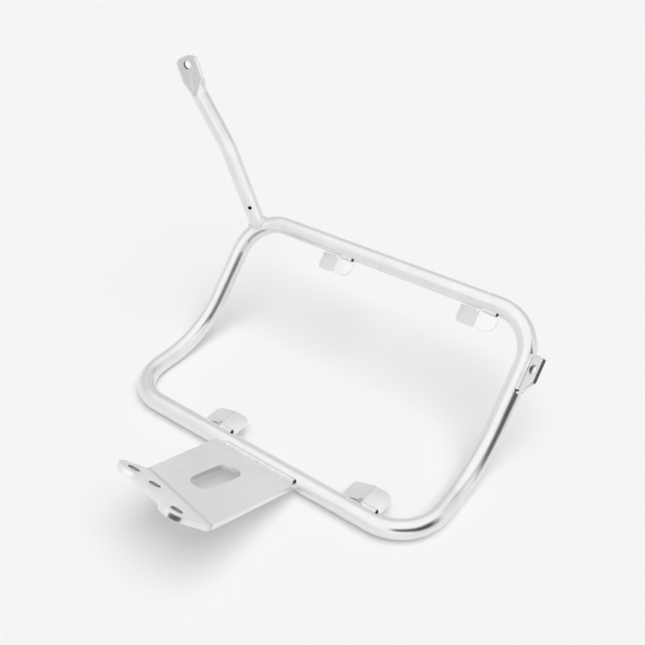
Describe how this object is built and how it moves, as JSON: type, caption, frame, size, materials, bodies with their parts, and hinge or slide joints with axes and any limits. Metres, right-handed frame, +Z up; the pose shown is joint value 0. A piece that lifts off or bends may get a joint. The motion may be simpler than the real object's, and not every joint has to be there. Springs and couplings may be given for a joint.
{
  "type": "pannier frame",
  "caption": "Bent steel tube loop that holds a side case on a motorbike, with a flat-ended strut, a slotted mount plate, folded tabs and a side bracket.",
  "frame": {"origin": "on the ground, below the middle of the lower bar", "axes": "+X along the bars towards the side bracket, +Y from the lower bar to the upper bar, +Z up as the frame rests on the flat part of its loop"},
  "size_m": [0.4391, 0.3495, 0.2768],
  "materials": {
    "tube": "satin electropolished",
    "sheet": "satin electropolished",
    "weld": "cleaned weld bead"
  },
  "bodies": {
    "root": {"main_loop": "tube", "upper_strut": "tube", "mount_plate": "sheet", "side_bracket": "sheet", "upper_left_tab": "sheet", "upper_right_tab": "sheet", "lower_left_tab": "sheet", "lower_right_tab": "sheet", "butt_weld": "weld", "strut_weld": "weld", "mount_plate_upper_weld": "weld", "mount_plate_lower_weld": "weld", "side_bracket_upper_weld": "weld", "side_bracket_lower_weld": "weld", "upper_left_tab_weld": "weld", "upper_right_tab_weld": "weld", "lower_left_tab_weld": "weld", "lower_right_tab_weld": "weld"}
  },
  "joints": []
}
